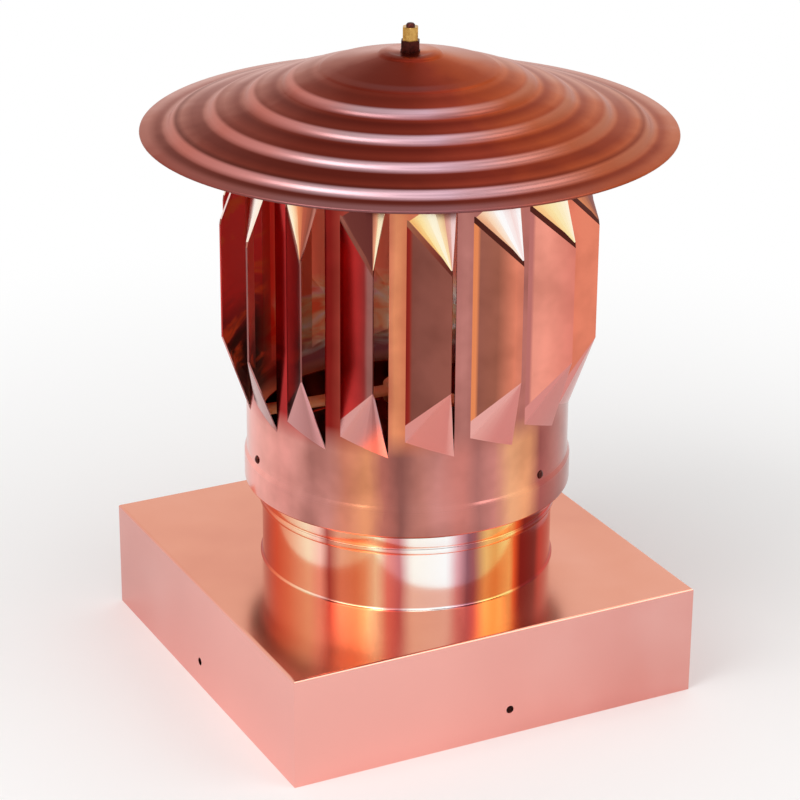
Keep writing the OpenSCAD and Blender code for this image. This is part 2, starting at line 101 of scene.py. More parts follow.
def piece(name, bm, body, materials, stands_for, sharp=30):
    """Makes the object from its bmesh, smooth but for edges over the sharp angle."""
    mesh = bpy.data.meshes.new(name)
    bm.to_mesh(mesh)
    bm.free()
    mesh.shade_smooth()
    mesh.set_sharp_from_angle(angle=math.radians(sharp))
    for material in materials:
        mesh.materials.append(material)
    thing = bpy.data.objects.new(name, mesh)
    bpy.context.scene.collection.objects.link(thing)
    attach(thing, body)
    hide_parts(*stands_for)
    return thing


# Bright rolled copper sheet: polished enough to mirror the tube, with rolling
# lines a few tenths of a millimetre apart, drawn at 1.5 mm to show, and cloudy
# handling marks. The folded sides are painted a pinker tint than the top, a
# painted reflection that goes by which way each face is turned, and a painted
# highlight brightens them near the front corner.
tray_copper, tree, shader, place = metal("rolled copper sheet", 0.1)
clouds = add(tree, "ShaderNodeTexNoise", {"Vector": place, "Scale": 9.0, "Detail": 3.0})
lines_place = add(tree, "ShaderNodeMapping", {"Vector": place, "Scale": (30, 700, 700)})
lines = add(tree, "ShaderNodeTexNoise", {"Vector": lines_place.outputs[0], "Scale": 1.0, "Detail": 2.0})
side_colour = add(tree, "ShaderNodeValToRGB", {"Fac": clouds.outputs["Fac"]},
                  stops=[(0.3, "#D9938A"), (0.5, "#E29D94"), (0.72, "#E8ABA3")])
top_colour = add(tree, "ShaderNodeValToRGB", {"Fac": clouds.outputs["Fac"]},
                 stops=[(0.3, "#DB8D73"), (0.5, "#E2967A"), (0.72, "#E7A087")])
# A painted highlight that brightens the sides towards the front corner.
front_corner = tray_shift + Vector((-tray_side, -tray_side, tray_depth)) / 2
corner_away = add(tree, "ShaderNodeVectorMath", {0: place, 1: front_corner}, operation="DISTANCE")
painted_corner_highlight = add(tree, "ShaderNodeMapRange", {"Value": corner_away.outputs["Value"], "From Min": 260 * MM,
                                         "From Max": 110 * MM, "To Max": 0.85})
side_with_painted_highlight = add(tree, "ShaderNodeMix", {0: painted_corner_highlight.outputs["Result"], 6: side_colour.outputs["Color"],
                                         7: linear("#F8B6AC")}, data_type="RGBA")
# The top and the sides take their colours by which way they face: painted reflection.
upwards = add(tree, "ShaderNodeSeparateXYZ", {"Vector": add(tree, "ShaderNodeNewGeometry").outputs["Normal"]})
sheet_colour = add(tree, "ShaderNodeMix", {0: upwards.outputs["Z"], 6: side_with_painted_highlight.outputs[2],
                                           7: top_colour.outputs["Color"]}, data_type="RGBA")
tree.links.new(sheet_colour.outputs[2], shader.inputs["Base Color"])
line_bump = add(tree, "ShaderNodeBump", {"Height": lines.outputs["Fac"], "Strength": 0.06, "Distance": 0.0002})
tree.links.new(line_bump.outputs["Normal"], shader.inputs["Normal"])
rough = add(tree, "ShaderNodeMapRange", {"Value": clouds.outputs["Fac"], "To Min": 0.14, "To Max": 0.25})
tree.links.new(rough.outputs["Result"], shader.inputs["Roughness"])

# The top starts as a grid's outline bridged to the tube's opening, and the sides
# are extruded down from it.
bm = bmesh.new()
side_steps = 24
bmesh.ops.create_grid(bm, x_segments=side_steps, y_segments=side_steps, size=tray_side / 2)
bmesh.ops.delete(bm, geom=[v for v in bm.verts if not v.is_boundary], context="VERTS")
bmesh.ops.delete(bm, geom=bm.faces[:], context="FACES_ONLY")
rim = bm.edges[:]
bmesh.ops.translate(bm, vec=tray_shift, verts=bm.verts)
opening = bmesh.ops.create_circle(bm, segments=4 * side_steps, radius=tray_opening)["verts"]
opening_edges = [e for e in bm.edges if e.verts[0] in opening]
bmesh.ops.bridge_loops(bm, edges=rim + opening_edges)
bmesh.ops.recalc_face_normals(bm, faces=bm.faces)
if bm.faces[:][0].normal.z < 0:
    bmesh.ops.reverse_faces(bm, faces=bm.faces)
walls = bmesh.ops.extrude_edge_only(bm, edges=rim)["geom"]
bmesh.ops.translate(bm, vec=(0, 0, -tray_depth), verts=[g for g in walls if isinstance(g, bmesh.types.BMVert)])
bmesh.ops.translate(bm, vec=(0, 0, tray_depth), verts=bm.verts)
bmesh.ops.bevel(bm, geom=rim, offset=tray_fold, segments=5, profile=0.5, affect="EDGES", material=-1)
corners = [e for e in bm.edges if all(min(abs(v.co.x - tray_shift.x), abs(v.co.y - tray_shift.y))
                                      > tray_side / 2 - 1e-6 for v in e.verts)]
bmesh.ops.bevel(bm, geom=corners, offset=tray_corner, segments=2, profile=0.5, affect="EDGES", material=-1)
bmesh.ops.recalc_face_normals(bm, faces=bm.faces)
bmesh.ops.solidify(bm, geom=bm.faces[:], thickness=SHEET)
tray = piece("tray", bm, "base", [tray_copper], ["base_tray"], sharp=35)


def drilled(thing, radius, a, b):
    """Drills a hole of that radius through the piece from a to b."""
    bm = bmesh.new()
    way = Vector(b) - Vector(a)
    turn = way.to_track_quat("Z", "Y").to_matrix().to_4x4()
    bmesh.ops.create_cone(bm, cap_ends=True, segments=32, radius1=radius, radius2=radius, depth=way.length,
                          matrix=Matrix.Translation((Vector(a) + Vector(b)) / 2) @ turn)
    mesh = bpy.data.meshes.new("drill")
    bm.to_mesh(mesh)
    bm.free()
    drill = bpy.data.objects.new("drill", mesh)
    bpy.context.scene.collection.objects.link(drill)
    boolean = thing.modifiers.new("drilled", "BOOLEAN")
    boolean.object = drill
    boolean.operation = "DIFFERENCE"
    boolean.solver = "EXACT"
    depsgraph = bpy.context.evaluated_depsgraph_get()
    thing.data = bpy.data.meshes.new_from_object(thing.evaluated_get(depsgraph))
    thing.modifiers.clear()
    bpy.data.objects.remove(drill)


drilled(tray, screw_hole_r, (-0.2, side_hole_y, screw_hole_z), (0.2, side_hole_y, screw_hole_z))
drilled(tray, screw_hole_r, (front_hole_x, -0.2, screw_hole_z), (front_hole_x, 0.2, screw_hole_z))
flat = tray.modifiers.new("flat sheet", "WEIGHTED_NORMAL")
flat.keep_sharp = True

# Flue collar and sleeve
# The collar is an 8 inch tube of polished copper, flanged under the tray's top
# and soldered round its foot. The sleeve slides over it and is hemmed twice at
# its bottom edge, with a pressed groove in the hem.
collar_r = 102
sleeve_r = 103.1


def arc(r, z, radius, start, end, steps=6):
    """Points of (radius, height) on an arc round (r, z), from start to end degrees."""
    return [(r + radius * math.cos(math.radians(a)), z + radius * math.sin(math.radians(a)))
            for a in (start + (end - start) * i / steps for i in range(steps + 1))]


def spun(profile, steps=128):
    """The closed half section of (radius, height) in mm, turned round the axis."""
    bm = bmesh.new()
    ring = [bm.verts.new((r * MM, 0, z * MM)) for r, z in profile]
    edges = [bm.edges.new(pair) for pair in zip(ring, ring[1:] + ring[:1])]
    bmesh.ops.spin(bm, geom=ring + edges, cent=(0, 0, 0), axis=(0, 0, 1), steps=steps,
                   angle=2 * math.pi, use_merge=True)
    bmesh.ops.remove_doubles(bm, verts=bm.verts, dist=1e-7)
    bmesh.ops.recalc_face_normals(bm, faces=bm.faces)
    return bm


def tint_round(tree, place, wander, stripes):
    """A tint that goes by the angle round the axis, in degrees from the front of the
    tube: less than 0 is to the left. The edges of the stripes wander a little."""
    front_first = add(tree, "ShaderNodeMapping", {"Vector": place, "Rotation": (0, 0, math.radians(-tint_front))})
    apart = add(tree, "ShaderNodeSeparateXYZ", {"Vector": front_first.outputs[0]})
    angle = add(tree, "ShaderNodeMath", {0: apart.outputs["Y"], 1: apart.outputs["X"]}, operation="ARCTAN2")
    upright = add(tree, "ShaderNodeMapping", {"Vector": place, "Scale": (45, 45, 14)})
    waves = add(tree, "ShaderNodeTexNoise", {"Vector": upright.outputs[0], "Scale": 1.0, "Detail": 3.0})
    shift = add(tree, "ShaderNodeMath", {0: waves.outputs["Fac"], 1: math.radians(wander), 2: angle.outputs[0]},
                operation="MULTIPLY_ADD")
    turn = add(tree, "ShaderNodeMapRange", {"Value": shift.outputs[0], "From Min": -math.pi, "From Max": math.pi})
    tint = add(tree, "ShaderNodeValToRGB", {"Fac": turn.outputs["Result"]},
               stops=[(0.5 + (degrees + wander / 2) / 360, code) for degrees, code in stripes])
    return tint.outputs["Color"]


# Polished copper that was heated to be soldered: upright stripes from maroon
# over orange to cream and pale pink, 5 to 30 mm wide, with a mirror polish. The
# stripes are partly heat tint and partly painted reflections, the white ones painted highlights.
tint_front = 242.8
tube_copper, tree, shader, place = metal("copper tube with heat tint and painted reflections", 0.13)
tint = tint_round(tree, place, 3, [
    (-170, "#C8503A"), (-140, "#F0A880"), (-115, "#8A2A22"), (-95, "#A83A2A"), (-72, "#C24A34"), (-62, "#E87048"),
    (-53, "#F4A27C"), (-41, "#FFE0BC"), (-35, "#FFC3B3"), (-31, "#B0544C"), (-26, "#E8A080"), (-19, "#E79A6F"),
    (-15, "#F2B989"), (-11, "#FFFCD4"), (-7, "#F0948C"), (-3, "#CF7C82"), (2, "#FFFAF0"), (16, "#FFFFFF"),
    (20, "#E0A0A8"), (24, "#8F5964"), (27, "#A45C5E"), (32, "#EEB86F"), (36, "#E9A156"), (44, "#FFDC88"),
    (46.5, "#F77A42"), (50, "#8A2420"), (60, "#7C201E"), (65, "#C6382B"), (92, "#B85040"), (125, "#F3B898"),
    (150, "#A03A30"), (168, "#C8503A")])
tree.links.new(tint, shader.inputs["Base Color"])

foot = [(collar_r + 1.6, 78.5)] + arc(collar_r + 1.6, 80.1, 1.6, 270, 180, 4)
bm = spun([(101, 76.5), (112, 76.5), (112, 77.5), (102.05, 77.5), (102.05, 78.5)] + foot + [
    (102, 149.7), (101.7, 150), (101.3, 150), (101, 149.7)])
piece("collar", bm, "base", [tube_copper], ["flue_collar"])

hem_z = 120.5
bm = spun(arc(103.1, hem_z + 1, 1, 180, 360) + [(104.1, hem_z + 3.6)] + arc(104.4, hem_z + 5, 0.9, 240, 120, 6)
          + [(104.1, hem_z + 6.4), (104.1, hem_z + 12.2)] + arc(103.6, hem_z + 12.5, 0.5, 0, 90, 3)
          + [(sleeve_r, hem_z + 13), (sleeve_r, 179.8), (102.9, 180), (102.1, 180), (102.1, hem_z + 2)])
piece("sleeve", bm, "base", [tube_copper], ["flue_sleeve"])

# Louvre drum
# One sheet of copper rolled to a drum. Sixteen louvres are slit along one side
# and pressed out like doors, so their ends close in as fans of creased sheet.
# The bottom band is swaged out and its edge is rolled in.
drum_r = 112.2
skirt_r = 114
drum_top = 408.6
louvres = 16
pitch = 360 / louvres
first_crease = 17
louvre_span = 16.8
louvre_reach = 130
louvre_mid = 289.5
free_edge = 83
crease = 140.5
slit = 188
fan_drop = 12
fan_steps = 6
pillar_steps = 2
fold_width = 1.8 * MM
columns = fan_steps + pillar_steps
louvre_width = 2 * drum_r * math.sin(math.radians(louvre_span / 2))
door = math.acos((louvre_reach ** 2 - drum_r ** 2 - louvre_width ** 2) / (2 * drum_r * louvre_width))
skirt_rows = [(112.2, 145), (112.2, 139.5)] + arc(113, 139, 1, 180, 360, 5) + [
    (114, 156.4), (113.9, 157.2), (113.5, 158.1), (112.9, 159.1), (112.4, 160), (112.25, 161), (112.2, 162.2)]


def plain_tint(name, roughness, dark, light, scale, grain=0.0, metallic=1):
    """A metal or rubber whose tint wanders a little, with a fine grain."""
    material, tree, shader, place = metal(name, roughness)
    shader.inputs["Metallic"].default_value = metallic
    clouds = add(tree, "ShaderNodeTexNoise", {"Vector": place, "Scale": scale, "Detail": 4.0})
    colour = add(tree, "ShaderNodeValToRGB", {"Fac": clouds.outputs["Fac"]}, stops=[(0.35, dark), (0.65, light)])
    tree.links.new(colour.outputs["Color"], shader.inputs["Base Color"])
    if grain:
        fine = add(tree, "ShaderNodeTexNoise", {"Vector": place, "Scale": scale * 12, "Detail": 2.0})
        bump = add(tree, "ShaderNodeBump", {"Height": fine.outputs["Fac"], "Strength": grain, "Distance": 0.0002})
        tree.links.new(bump.outputs["Normal"], shader.inputs["Normal"])
    return material


def tinted_sheet(name, roughness, stripes, wander=8, upper=None):
    """Polished copper sheet with upright stripes, partly tint and partly painted reflection,
    and cloudy brightness. The upper stripes, if any, take over between the foot of the louvres and their slits."""
    material, tree, shader, place = metal(name, roughness)
    tint = tint_round(tree, place, wander, stripes)
    if upper:
        height = add(tree, "ShaderNodeSeparateXYZ", {"Vector": place})
        rise = add(tree, "ShaderNodeMapRange", {"Value": height.outputs["Z"], "From Min": (louvre_mid - slit / 2) * MM,
                                                "From Max": (louvre_mid - crease / 2) * MM - 0.006})
        faded = add(tree, "ShaderNodeMix", {0: rise.outputs["Result"], 6: tint, 7: tint_round(tree, place, 3, upper)},
                    data_type="RGBA")
        tint = faded.outputs[2]
    clouds = add(tree, "ShaderNodeTexNoise", {"Vector": place, "Scale": 25.0, "Detail": 3.0})
    shade = add(tree, "ShaderNodeValToRGB", {"Fac": clouds.outputs["Fac"]}, stops=[(0.35, "#E2DEDC"), (0.6, "#FFFFFF")])
    cloudy = add(tree, "ShaderNodeMix", {0: 1.0, 6: tint, 7: shade.outputs["Color"]}, data_type="RGBA",
                 blend_type="MULTIPLY")
    tree.links.new(cloudy.outputs[2], shader.inputs["Base Color"])
    return material


# The same copper all over, polished after pressing. The skirt and the pillars
# carry mauve and orange stripes, partly tint and partly painted reflections; the
# flat louvres are painted with brown and red painted reflections, and the upper
# fans, which face the sky, are painted palest, as painted reflections and highlights.
drum_plain = tinted_sheet("polished drum sheet", 0.16, [
    (-150, "#C98880"), (-95, "#D08A80"), (-68, "#FFACA0"), (-58, "#FFAEA2"), (-48, "#F0A096"), (-40, "#DC948A"),
    (-34, "#B87870"), (-28, "#D08A80"), (-22, "#DA886E"), (-13, "#EC9C70"), (-8, "#B86C60"), (-2, "#8C5650"),
    (5, "#C07C70"), (12, "#D08A82"), (18, "#CE7E74"), (24, "#B0706A"), (31, "#D68A81"), (38, "#F0AC80"),
    (46, "#F6A878"), (52, "#AB554F"), (60, "#B45E54"), (68, "#BC6A5E"), (95, "#C88880"), (140, "#E0A088"), (165, "#C98880")],
    upper=[
    (-150, "#C98880"), (-95, "#A84A40"), (-72, "#BE2C2C"), (-40, "#BE2C2C"), (-27, "#861E1A"), (-22, "#A04034"),
    (-7, "#CC7058"), (-4, "#E89468"), (0, "#D87A58"), (15, "#B4706A"), (19, "#C48078"), (23, "#B4706A"),
    (38, "#C87868"), (42, "#B87068"), (60, "#C8705C"), (68, "#C88880"), (95, "#C88880"), (140, "#D09080"), (165, "#C98880")])
# Painted reflections on the flat louvres: deep red on one side, mauve-brown on the other.
louvre_face = tinted_sheet("louvre with painted reflections", 0.2, [
    (-150, "#B87468"), (-95, "#E03A2C"), (-72, "#D82420"), (-66, "#A06460"), (-54, "#A06460"), (-48, "#C02C2A"),
    (-40, "#B02828"), (-34.6, "#982424"), (-33.2, "#9A5C58"), (-31, "#9A5C58"), (-27, "#E83432"), (-18, "#C82E2C"),
    (-13.5, "#962422"), (-11.8, "#A06660"), (-6, "#9A5C54"), (-3, "#84463C"), (4, "#8E5348"), (13, "#94564A"),
    (20, "#985C50"), (29, "#A4624F"), (33, "#E8886C"), (38, "#C87868"), (42, "#E0907E"), (50, "#F79C88"),
    (58, "#E08070"), (63, "#E87860"), (74, "#E88468"), (84, "#E88468"), (95, "#B87468"), (150, "#B87468")], 1.5)
# The crease of each louvre is a narrow hollow, painted with a painted reflection of what lies beside it.
tree = louvre_face.node_tree
place = tree.nodes["Texture Coordinate"].outputs["Object"]
turn = add(tree, "ShaderNodeAttribute", attribute_name="louvre turn").outputs["Fac"]
counted = add(tree, "ShaderNodeMath", {0: turn, 1: louvres}, operation="MULTIPLY")
across = add(tree, "ShaderNodeMath", {0: counted.outputs[0]}, operation="FRACT")
hollow = add(tree, "ShaderNodeMapRange", {"Value": across.outputs[0], "From Min": 0.14, "From Max": 0.08})
crease_painted_reflection = tint_round(tree, place, 0, [
    (-150, "#7A2018"), (-91, "#7A1418"), (-68, "#7A1418"), (-46, "#8A1A1C"), (-23, "#B01C1E"), (-1, "#8A1C1C"),
    (22, "#E88A58"), (44, "#B8706C"), (67, "#F08A60"), (95, "#A84A3C"), (150, "#7A2018")])
plain = tree.nodes["Principled BSDF"].inputs["Base Color"].links[0].from_socket
with_hollow = add(tree, "ShaderNodeMix", {0: hollow.outputs["Result"], 6: plain, 7: crease_painted_reflection}, data_type="RGBA")
tree.links.new(with_hollow.outputs[2], tree.nodes["Principled BSDF"].inputs["Base Color"])
# On one side the louvres are made almost not metallic, so the deep red painted on them there, a painted reflection of
# the inside, shows dull.
red_side_metallic = tint_round(tree, place, 4, [
    (-150, "#FFFFFF"), (-100, "#303030"), (-50, "#303030"), (-32, "#FFFFFF"), (150, "#FFFFFF")])
tree.links.new(red_side_metallic, tree.nodes["Principled BSDF"].inputs["Metallic"])


def fan_sheet(name, roughness, stripes):
    """Creased sheet with a tint for each louvre, given by the louvre's number and how
    far across it from the crease (0) to the slit (1)."""
    material, tree, shader, place = metal(name, roughness)
    turn = add(tree, "ShaderNodeAttribute", attribute_name="louvre turn").outputs["Fac"]
    ripple = add(tree, "ShaderNodeTexNoise", {"Vector": place, "Scale": 60.0, "Detail": 3.0})
    moved = add(tree, "ShaderNodeMath", {0: ripple.outputs["Fac"], 1: 0.1 / louvres, 2: turn}, operation="MULTIPLY_ADD")
    tint = add(tree, "ShaderNodeValToRGB", {"Fac": moved.outputs[0]},
               stops=[((number + 0.05) / louvres, code) for number, code in stripes])
    tree.links.new(tint.outputs["Color"], shader.inputs["Base Color"])
    return material


# Each upper fan is painted with painted reflections: pale and white of the light above, dark where the cap's shade
# falls.
top_fan = fan_sheet("upper fan with painted reflections", 0.14, [
    (5.0, "#F8E0C0"), (6.98, "#F4D8D0"), (7.02, "#FFF0E8"), (7.98, "#FFECD8"), (8.02, "#FFF4DC"), (8.2, "#FFE0B4"),
    (8.34, "#F0905C"), (8.56, "#B85A42"), (8.9, "#8A4638"), (8.98, "#D89080"), (9.02, "#6E3630"), (9.64, "#66302C"),
    (9.76, "#E09070"), (9.84, "#FBE4B4"), (9.98, "#FFF0D0"), (10.02, "#F0A050"), (10.18, "#FDE09A"), (10.42, "#FFF8E0"),
    (10.6, "#FBD8A0"), (10.72, "#D89080"), (10.84, "#F0C8C0"), (10.98, "#F8D8D8"), (11.02, "#E0905C"),
    (11.2, "#FBD8B8"), (11.4, "#FFFFFF"), (11.7, "#F8DCD8"), (11.98, "#FFFFFF"), (12.02, "#F8B878"),
    (12.3, "#FBE4A8"), (12.98, "#FFF4DC"), (13.02, "#E08858"), (13.6, "#8A5048")])
# Each lower fan is painted pink, a painted reflection of the tray below.
bottom_fan = fan_sheet("lower fan", 0.18, [
    (0.0, "#D98A80"), (6.98, "#D99A94"), (7.02, "#C08680"), (7.98, "#B67C78"), (8.02, "#D29290"), (8.7, "#B87C7A"),
    (8.98, "#E0A0A0"), (9.02, "#DA9890"), (9.45, "#CC908C"), (9.75, "#A06A68"), (9.98, "#CC9898"), (10.02, "#DC8C82"),
    (10.8, "#D98880"), (10.98, "#E8A8A0"), (11.5, "#D88A84"), (16.0, "#D98A80")])
# The rounded fold of each crease is painted dark, a painted reflection.
crease_line = tinted_sheet("crease fold with painted dark reflection", 0.25, [
    (-150, "#8A4A3C"), (-60, "#B87868"), (-10, "#8A4A3E"), (-2, "#A86A50"), (8, "#8A4034"), (14, "#4E241E"),
    (95, "#5A2A22"), (150, "#8A4A3C")], 2)

# Inside, the bare sheet mirrors itself again and again, which gives a deep red.
# Just above the flue the far side is painted with flame-like painted reflections,
# and below them it is painted darker, a painted dark reflection of the flue. On the
# side whose louvres are painted deep red the inside is painted red as well, darker
# downwards, as painted reflection and painted shade, with painted orange glints,
# and beside that side it is redder. Where the drum runs round the sleeve, out of
# the smoke, it stayed clean.
drum_inside, tree, shader, place = metal("inside of the drum", 0.36)
slanting = add(tree, "ShaderNodeMapping", {"Vector": place, "Scale": (24, 24, 60), "Rotation": (0.5, 0.35, 0)})
flames = add(tree, "ShaderNodeTexNoise", {"Vector": slanting.outputs[0], "Scale": 1.0, "Detail": 3.0, "Distortion": 0.8})
# Painted flame-like reflections.
flame_like_painted_reflection = add(tree, "ShaderNodeValToRGB", {"Fac": flames.outputs["Fac"]},
            stops=[(0.36, "#FF8454"), (0.44, "#FFC890"), (0.52, "#FFF0C8"), (0.6, "#FFFFF4")])
height = add(tree, "ShaderNodeSeparateXYZ", {"Vector": place})
ragged = add(tree, "ShaderNodeMath", {0: flames.outputs["Fac"], 1: 40 * MM, 2: height.outputs["Z"]},
             operation="MULTIPLY_ADD")
above = add(tree, "ShaderNodeMapRange", {"Value": ragged.outputs[0], "From Min": 250 * MM, "From Max": 264 * MM})
painted_reflections = add(tree, "ShaderNodeMix", {0: above.outputs["Result"], 6: flame_like_painted_reflection.outputs["Color"], 7: linear("#FF8462")},
          data_type="RGBA")
lit = add(tree, "ShaderNodeMapRange", {"Value": ragged.outputs[0], "From Min": 212 * MM, "From Max": 222 * MM})
# Painted darker below, a painted dark reflection of the flue.
painted_dark_below = add(tree, "ShaderNodeMix", {0: lit.outputs["Result"], 6: linear("#C08088"), 7: painted_reflections.outputs[2]},
            data_type="RGBA")
beside_red_side = tint_round(tree, place, 6, [
    (-150, "#FFFFFF"), (-133, "#FFFFFF"), (-127, "#F06050"), (-100, "#F06050"), (150, "#FFFFFF")])
reddened = add(tree, "ShaderNodeMix", {0: 1.0, 6: painted_dark_below.outputs[2], 7: beside_red_side}, data_type="RGBA",
               blend_type="MULTIPLY")
red_side_height = add(tree, "ShaderNodeMapRange", {"Value": ragged.outputs[0], "From Min": 250 * MM, "From Max": 350 * MM})
# Painted red reflection, darker downwards as painted shade, with painted glints.
red_side_painted_reflection = add(tree, "ShaderNodeValToRGB", {"Fac": red_side_height.outputs["Result"]},
                stops=[(0.05, "#48201C"), (0.25, "#98282A"), (0.45, "#E83434"), (1.0, "#F03C3A")])
spots = add(tree, "ShaderNodeMapRange", {"Value": flames.outputs["Fac"], "From Min": 0.58, "From Max": 0.7})
red_side_painted_glints = add(tree, "ShaderNodeMix", {0: spots.outputs["Result"], 6: red_side_painted_reflection.outputs["Color"],
                                         7: linear("#F06030")}, data_type="RGBA")
red_side = tint_round(tree, place, 6, [
    (-150, "#000000"), (-120, "#000000"), (-110, "#FFFFFF"), (-50, "#FFFFFF"), (-38, "#000000"), (150, "#000000")])
with_red_side = add(tree, "ShaderNodeMix", {0: red_side, 6: reddened.outputs[2], 7: red_side_painted_glints.outputs[2]}, data_type="RGBA")
clean = add(tree, "ShaderNodeMapRange", {"Value": height.outputs["Z"], "From Min": 186 * MM, "From Max": 176 * MM})
with_clean = add(tree, "ShaderNodeMix", {0: clean.outputs["Result"], 6: with_red_side.outputs[2], 7: linear("#FFC4A4")},
                 data_type="RGBA")
tree.links.new(with_clean.outputs[2], shader.inputs["Base Color"])
bare_side = tint_round(tree, place, 6, [
    (-150, "#808080"), (-120, "#808080"), (-110, "#000000"), (-50, "#000000"), (-38, "#FFFFFF"), (110, "#FFFFFF"),
    (125, "#808080"), (150, "#808080")])
bare = add(tree, "ShaderNodeMath", {0: bare_side, 1: clean.outputs["Result"]}, operation="MAXIMUM")
tree.links.new(bare.outputs[0], shader.inputs["Metallic"])

bm = bmesh.new()
louvre_turn = bm.loops.layers.float.new("louvre turn")
rows = len(skirt_rows) + 4
grid = bmesh.ops.create_grid(bm, x_segments=columns, y_segments=rows - 1, size=1)["verts"]
grid = sorted(grid, key=lambda v: (round(v.co.x, 4), round(v.co.y, 4)))
table = [grid[i * rows:(i + 1) * rows] for i in range(columns + 1)]


def on_drum(radius, degrees, height):
    a = math.radians(degrees)
    return Vector((radius * math.cos(a), radius * math.sin(a), height)) * MM


for i, column in enumerate(table):
    if i <= fan_steps:
        turn = louvre_span * i / fan_steps
        slope = i / fan_steps
    else:
        turn = louvre_span + (pitch - louvre_span) * (i - fan_steps) / pillar_steps
        slope = 1 - (i - fan_steps) / pillar_steps
    below = (crease / 2 + fan_drop) * (1 - slope) + slit / 2 * slope
    above = crease / 2 * (1 - slope) + slit / 2 * slope
    heights = skirt_rows + [(drum_r, louvre_mid - below), (drum_r, louvre_mid - crease / 2),
                            (drum_r, louvre_mid + above), (drum_r, drum_top)]
    for v, (radius, height) in zip(column, heights):
        v.co = on_drum(radius, first_crease + turn, height)

low, high = len(skirt_rows), len(skirt_rows) + 2
window = {v for column in table[:fan_steps + 1] for v in column[low:high + 1]}
bmesh.ops.delete(bm, geom=[f for f in bm.faces if all(v in window for v in f.verts)], context="FACES")
swing = math.radians(first_crease) + door
tip = on_drum(drum_r, first_crease, 0) + louvre_width * MM * Vector((math.cos(swing), math.sin(swing), 0))
top_tip = bm.verts.new(tip + Vector((0, 0, (louvre_mid + free_edge / 2) * MM)))
low_tip = bm.verts.new(tip + Vector((0, 0, (louvre_mid - free_edge / 2) * MM)))
low_corner = bm.verts.new(on_drum(drum_r, first_crease, louvre_mid - crease / 2))


def sheet_face(corners, index):
    """A face of that material. Each corner is a vertex and how far across it lies."""
    face = bm.faces.new([v for v, across in corners])
    face.material_index = index
    for loop, (v, across) in zip(face.loops, corners):
        loop[louvre_turn] = across


sheet_face([(low_corner, 0), (low_tip, 0.999), (top_tip, 0.999), (table[0][high], 0)], 1)
sheet_face([(low_tip, 0.1), (low_corner, 0), (table[0][low], 0)], 3)
for i in range(fan_steps):
    near, far, middle = i / fan_steps, (i + 1) / fan_steps, (i + 0.5) / fan_steps
    sheet_face([(top_tip, middle), (table[i + 1][high], far), (table[i][high], near)], 2)
    sheet_face([(low_tip, middle), (table[i][low], near), (table[i + 1][low], far)], 3)
fold = [e for e in bm.edges if top_tip in e.verts and table[0][high] in e.verts]
for strip in bmesh.ops.bevel(bm, geom=fold, offset=fold_width, segments=3, profile=0.5, affect="EDGES",
                             material=-1)["faces"]:
    strip.material_index = 4
bmesh.ops.spin(bm, geom=bm.verts[:] + bm.edges[:] + bm.faces[:], cent=(0, 0, 0), axis=(0, 0, 1),
               steps=louvres - 1, angle=math.radians(pitch * (louvres - 1)), use_duplicate=True)
bmesh.ops.remove_doubles(bm, verts=bm.verts, dist=1e-5)
for face in bm.faces:
    middle = face.calc_center_median()
    number = int((math.degrees(math.atan2(middle.y, middle.x)) - first_crease) % 360 / pitch)
    for loop in face.loops:
        loop[louvre_turn] = (number + loop[louvre_turn]) / louvres
bmesh.ops.recalc_face_normals(bm, faces=bm.faces)
outer = max(bm.faces, key=lambda f: f.calc_area())
if outer.normal.dot(outer.calc_center_median() * Vector((1, 1, 0))) < 0:
    bmesh.ops.reverse_faces(bm, faces=bm.faces)
drum = piece("louvre_drum_sheet", bm, "rotor",
             [drum_plain, louvre_face, top_fan, bottom_fan, crease_line] + [drum_inside] * 5,
             ["louvre_drum"], sharp=14)
bm = bmesh.new()
bm.from_mesh(drum.data)
for cut in bm.edges:
    if cut.is_boundary:
        cut.smooth = False
bm.to_mesh(drum.data)
bm.free()
wall = drum.modifiers.new("sheet", "SOLIDIFY")
wall.thickness = SHEET
wall.offset = -1
wall.use_even_offset = True
wall.material_offset = 5

# Cap
# A disc of copper spun over a former: five stepped ridges round a flat boss,
# with its edge hemmed underneath. The copper has turned a satin brown.
cap_r = 180.8
cap_z = 388.5
ridges = [(161, 5.6, 55), (133.5, 14.4, 55), (108.6, 23.7, 55), (84, 32.5, 55), (60.5, 41.5, 34)]
boss_slope, land_slope = 45, 14
dish_z = cap_z + 52.8
bend_steps = 8


def shoulder(r, z, convex, hollow, steep, flat):
    """An S-shaped bend through (r, z): convex above it and hollow below it."""
    upper, lower = [], []
    for i in range(bend_steps + 1):
        a = math.radians(flat + (steep - flat) * i / bend_steps)
        b = math.radians(steep - (steep - flat) * i / bend_steps)
        s = math.radians(steep)
        upper.append((r + convex * (math.sin(a) - math.sin(s)), z + convex * (math.cos(a) - math.cos(s))))
        lower.append((r + hollow * (math.sin(s) - math.sin(b)), z + hollow * (math.cos(s) - math.cos(b))))
    return upper + lower[1:]


def cap_face(down):
    """The cap's half section from its middle outwards, that far below its top face."""
    points = [(3.2, dish_z - down), (11.5, dish_z - down), (12.5, dish_z + 0.1 - down), (14.5, dish_z + 0.45 - down),
              (16.5, dish_z + 0.7 - down)]
    bends = [(21.5, dish_z - 1, 4.5, 3, boss_slope)]
    bends += [(r, cap_z + h, 6, 5, slope) for r, h, slope in reversed(ridges)]
    for r, z, convex, hollow, slope in bends:
        lean = math.radians(slope)
        points += shoulder(r - down * math.sin(lean), z - down * math.cos(lean), convex - down, hollow + down,
                           slope, land_slope)
    return points


